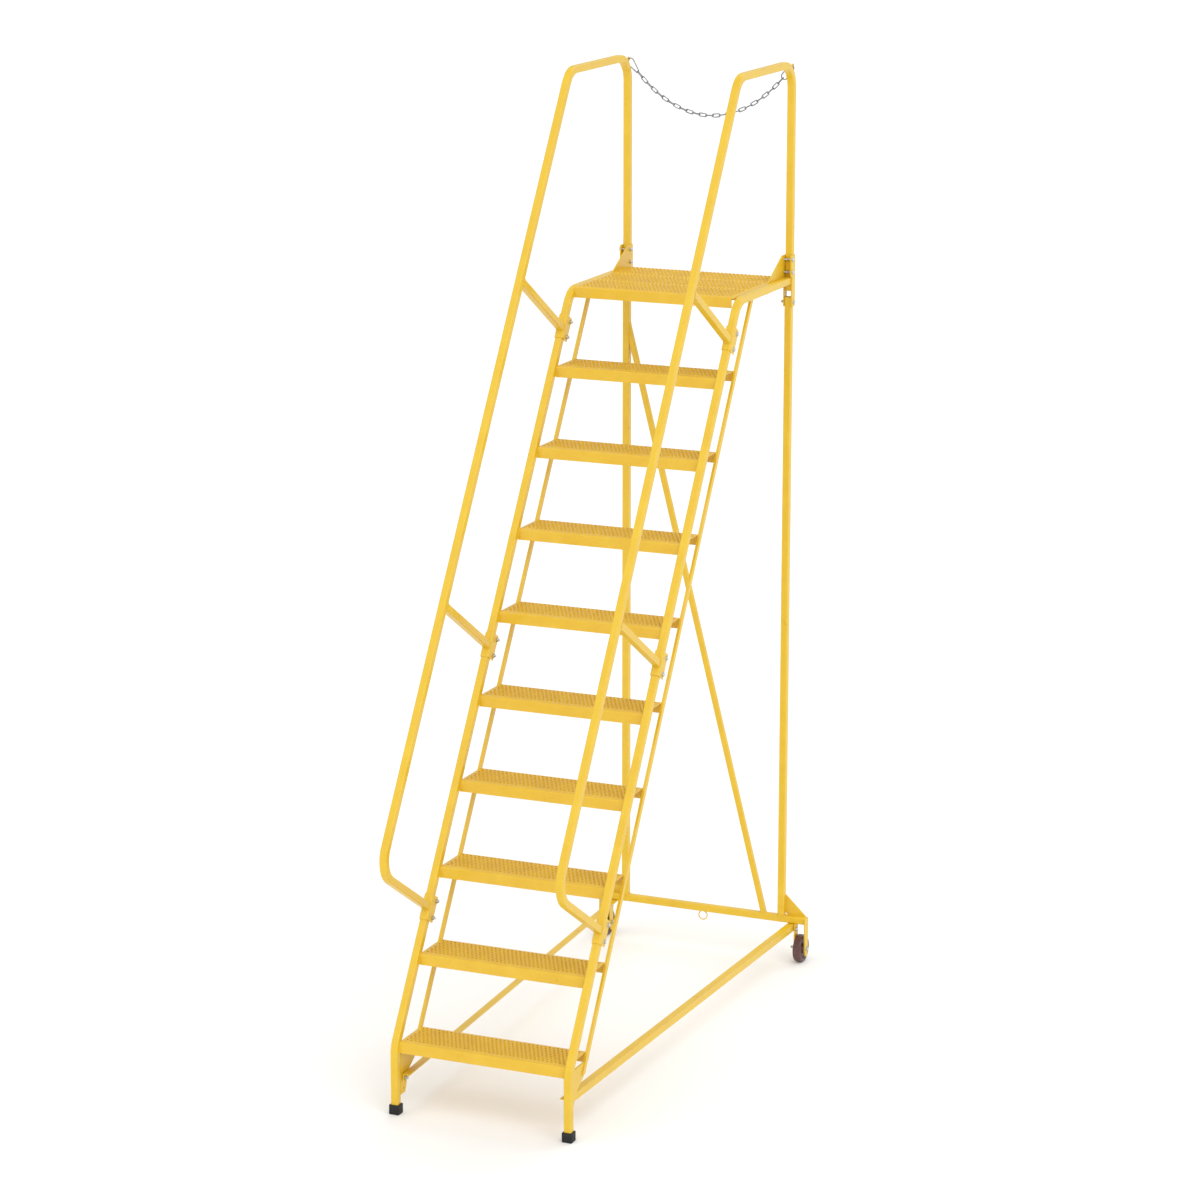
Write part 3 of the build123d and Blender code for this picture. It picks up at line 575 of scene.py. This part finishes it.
# weld beads
weldShape = {
    "radius": 2.1 * mm, "ripple": 0.35 * mm, "step": 1.5 * mm, "segments": 8, "ends": 0.55,
    "slope": math.atan2(254, 160),      # the stringers' rise over run
    "tube": 25.4 * mm, "light": 0.7, "medium": 0.8,       # smaller runs, as parts of the full bead
    "lipFoot": 2 * mm, "lipBend": 5 * mm, "lipReach": 15 * mm,
    "footZone": 200 * mm, "footSlack": 1 * mm,
    "gussetCorner": 9 * mm, "bracketRuns": ((4 * mm, 44 * mm), (96 * mm, 136 * mm)),
    "stitches": (8 * mm, 60 * mm, 112 * mm), "stitch": 26 * mm,
    "braceRun": 22 * mm, "braceStop": 1 * mm, "braceSide": 60 * mm, "braceTop": 2 * mm, "ringRun": 6 * mm,
}


def bead(bm, start, end, size=1.0):
    # one run of weld, half sunk in the corner: rings of uneven radius along a line
    w = weldShape
    start, end = Vector(start), Vector(end)
    way = end - start
    count = max(4, int(way.length / w["step"]))
    turn = way.to_track_quat("Z", "Y").to_matrix().to_4x4()
    loops = []
    for i in range(count + 1):
        radius = (w["ends"] if i in (0, count) else 1.0) * w["radius"] * size
        swell = radius + w["ripple"] * size * (1 if i % 2 else -1)
        loops.append(ring(bm, w["segments"], swell, Matrix.Translation(start + way * i / count) @ turn))
    skin(bm, loops)
    for loop in (loops[0], loops[-1]):
        bmesh.ops.contextual_create(bm, geom=edgesOf(loop))


def beadSquare(bm, centre, along):
    # all round the end of one square tube
    half = weldShape["tube"] / 2
    corners = [centre + xAxis * half * a + along * half * b for a, b in ((-1, -1), (1, -1), (1, 1), (-1, 1))]
    for i in range(4):
        bead(bm, corners[i], corners[(i + 1) % 4])


bm = bmesh.new()
w = weldShape
xAxis, yAxis = Vector((1, 0, 0)), Vector((0, 1, 0))
outward = Vector((0, -math.sin(w["slope"]), math.cos(w["slope"])))
upSlope = Vector((0, math.cos(w["slope"]), math.sin(w["slope"])))
for name in sheetNodes["treads"] + sheetNodes["planks"][:1]:
    # front lip to both stringers; the platform's lip only where it reaches the rail
    low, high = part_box(name)
    for x in (low.x, high.x) if name in sheetNodes["treads"] else (low.x,):
        bead(bm, (x, low.y, low.z + w["lipFoot"]), (x, low.y, high.z - w["lipBend"]))
        bead(bm, (x, low.y + w["lipBend"], high.z), (x, low.y + w["lipReach"], high.z), w["light"])
for side in ("left", "right"):
    for points in islands("handrail_struts_" + side):
        reaches = [p.dot(outward) for p in points]
        middle = sum((Vector(c) for c in span(points)), Vector()) / 2
        middle -= outward * middle.dot(outward)
        for reach in (min(reaches), max(reaches)):
            beadSquare(bm, middle + outward * reach, upSlope)
    low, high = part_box("rear_upright_" + side)
    beadSquare(bm, Vector(((low.x + high.x) / 2, (low.y + high.y) / 2, low.z)), yAxis)
    # lower end of the handrail on its clamp: the points nearest the stringer
    rail = [v.co for v in frame["nodes"]["handrail_" + side].data.vertices]
    zoneTop = min(rail, key=lambda c: c.z).z + w["footZone"]
    nearest = min(c.dot(outward) for c in rail if c.z < zoneTop) + w["footSlack"]
    low, high = span([c for c in rail if c.dot(outward) < nearest and c.z < zoneTop])
    beadSquare(bm, (low + high) / 2, upSlope)
    # corner gusset on the cross bar and the upright
    low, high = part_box("corner_gusset_" + side)
    inner, outer = (low.x, high.x) if side == "right" else (high.x, low.x)
    reach = w["gussetCorner"] if side == "right" else -w["gussetCorner"]
    bead(bm, (inner + reach, low.y, low.z), (outer, low.y, low.z), w["medium"])
    bead(bm, (inner, low.y, low.z + w["gussetCorner"]), (inner, low.y, high.z), w["medium"])
    # leg bracket on the leg's rear face
    low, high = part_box("leg_bracket_" + side)
    for x in (low.x, high.x):
        for foot, top in w["bracketRuns"]:
            bead(bm, (x, low.y, low.z + foot), (x, low.y, low.z + top), w["medium"])
    # platform brackets: stitches along the rail
    low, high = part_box("rail_gusset_" + side)
    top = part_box("platform_plank_1")[1].z
    inboard = low.x if side == "right" else high.x
    for start in w["stitches"]:
        bead(bm, (inboard, low.y + start, top), (inboard, low.y + start + w["stitch"], top), w["medium"])
low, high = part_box("diagonal_brace")
for y in (low.y, high.y):
    bead(bm, (high.x - w["braceRun"], y, low.z), (high.x - w["braceStop"], y, low.z), w["light"])
    bead(bm, (low.x, y, high.z - w["braceSide"]), (low.x, y, high.z - w["braceTop"]), w["light"])
low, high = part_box("tie_ring")
middle = (low.x + high.x) / 2
for y in (low.y, high.y):
    bead(bm, (middle - w["ringRun"], y, high.z), (middle + w["ringRun"], y, high.z), w["light"])
bmesh.ops.recalc_face_normals(bm, faces=bm.faces)
print("weld beads,", len(bm.faces), "faces")
finishPiece("weld_beads", bm, frameCoat, "frame", (), 60)

# floor, camera and light
stageSettings = {
    "floorSize": 500.0, "floorColours": ("#FDFDFC", "#F7F7F6"), "floorClouds": 0.8,
    "lens": 113.6, "sensor": 36.0, "clip": (0.1, 600), "azimuth": 23.25, "down": 13.856,
    "cameraX": 4.924, "cameraBack": 10.470, "cameraZ": 4.625,
    "lights": {      # the way each comes from, strength, apparent width in degrees
        "keyLight": ((0.62, -0.42, 0.66), 1.1, 60),
        "fillLight": ((-0.25, -0.75, 0.60), 0.65, 70),
        "rearLight": ((0.10, 0.65, 0.75), 0.75, 50),
    },
    "lampDistance": 8, "world": 0.66,
}
floorMaterial, tree, coords = newMaterial("paleFloor")
soft = addNode(tree, "ShaderNodeTexNoise", {"Scale": stageSettings["floorClouds"], "Detail": 2.0},
               {"Vector": coords})
pale = ramp(tree, soft.outputs["Fac"],
            [(place, linear(colour)) for place, colour in zip((0.3, 0.7), stageSettings["floorColours"])])
closeMaterial(tree, {"Roughness": 0.9}, {"Base Color": pale})
bm = bmesh.new()
bmesh.ops.create_grid(bm, x_segments=1, y_segments=1, size=stageSettings["floorSize"] / 2)
mesh = bpy.data.meshes.new("floor")
bm.to_mesh(mesh)
bm.free()
mesh.materials.append(floorMaterial)
floor = bpy.data.objects.new("floor", mesh)
bpy.context.scene.collection.objects.link(floor)

cameraData = bpy.data.cameras.new("camera")
cameraData.lens = stageSettings["lens"]
cameraData.sensor_width, cameraData.sensor_fit = stageSettings["sensor"], "HORIZONTAL"
cameraData.clip_start, cameraData.clip_end = stageSettings["clip"]
camera = bpy.data.objects.new("camera", cameraData)
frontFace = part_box("stringer_right")[0].y
camera.location = (stageSettings["cameraX"], frontFace - stageSettings["cameraBack"], stageSettings["cameraZ"])
camera.rotation_euler = (math.radians(90 - stageSettings["down"]), 0, math.radians(stageSettings["azimuth"]))
bpy.context.scene.collection.objects.link(camera)
bpy.context.scene.camera = camera

# large distant soft boxes: the floor gets the same light everywhere
for name, (fromWay, strength, width) in stageSettings["lights"].items():
    lamp = bpy.data.lights.new(name, "SUN")
    lamp.energy, lamp.angle = strength, math.radians(width)
    holder = bpy.data.objects.new(name, lamp)
    holder.rotation_mode = "QUATERNION"
    holder.rotation_quaternion = Vector(fromWay).to_track_quat("Z", "Y")
    holder.location = Vector(fromWay) * stageSettings["lampDistance"]
    bpy.context.scene.collection.objects.link(holder)
world = bpy.data.worlds.new("studio")
world.use_nodes = True
world.node_tree.nodes["Background"].inputs["Color"].default_value = linear("#FFFFFF")
world.node_tree.nodes["Background"].inputs["Strength"].default_value = stageSettings["world"]
bpy.context.scene.world = world
bpy.context.scene.view_settings.view_transform = "Standard"
print("stage")
